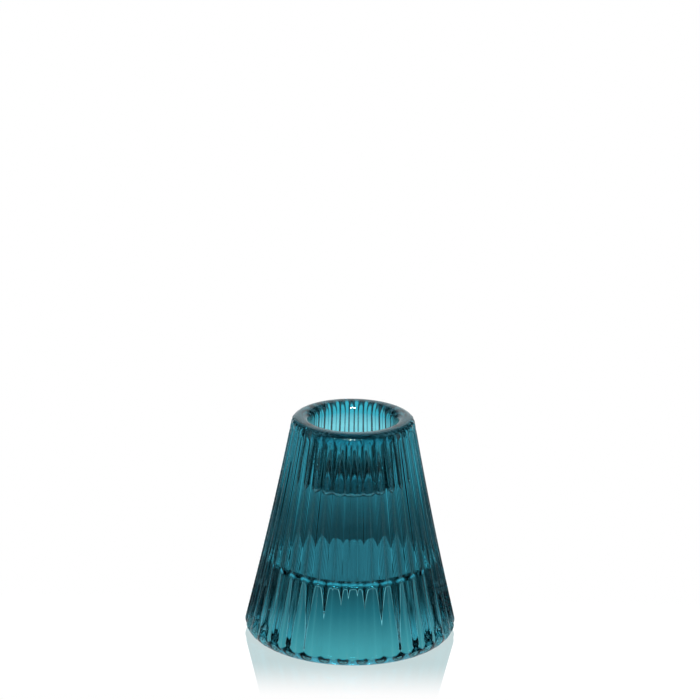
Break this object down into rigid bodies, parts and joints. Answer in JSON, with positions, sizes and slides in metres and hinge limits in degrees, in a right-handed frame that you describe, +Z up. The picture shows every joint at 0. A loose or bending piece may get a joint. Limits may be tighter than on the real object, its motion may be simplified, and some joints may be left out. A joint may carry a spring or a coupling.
{
  "type": "glass bud vase",
  "caption": "Ribbed tapering bud vase in clear teal pressed glass, with a round stem socket in its rolled rim and a round recess under its foot.",
  "frame": {"origin": "centre of the foot, on the surface the vase rests on", "axes": "+Z up along the vase's axis, from foot to rim; -Y is the front, on a rib crest"},
  "size_m": [0.06, 0.06, 0.0634],
  "materials": {
    "teal_glass": "fire-polished transparent teal pressed glass"
  },
  "bodies": {
    "root": {"glass_body": "teal_glass"}
  },
  "joints": []
}
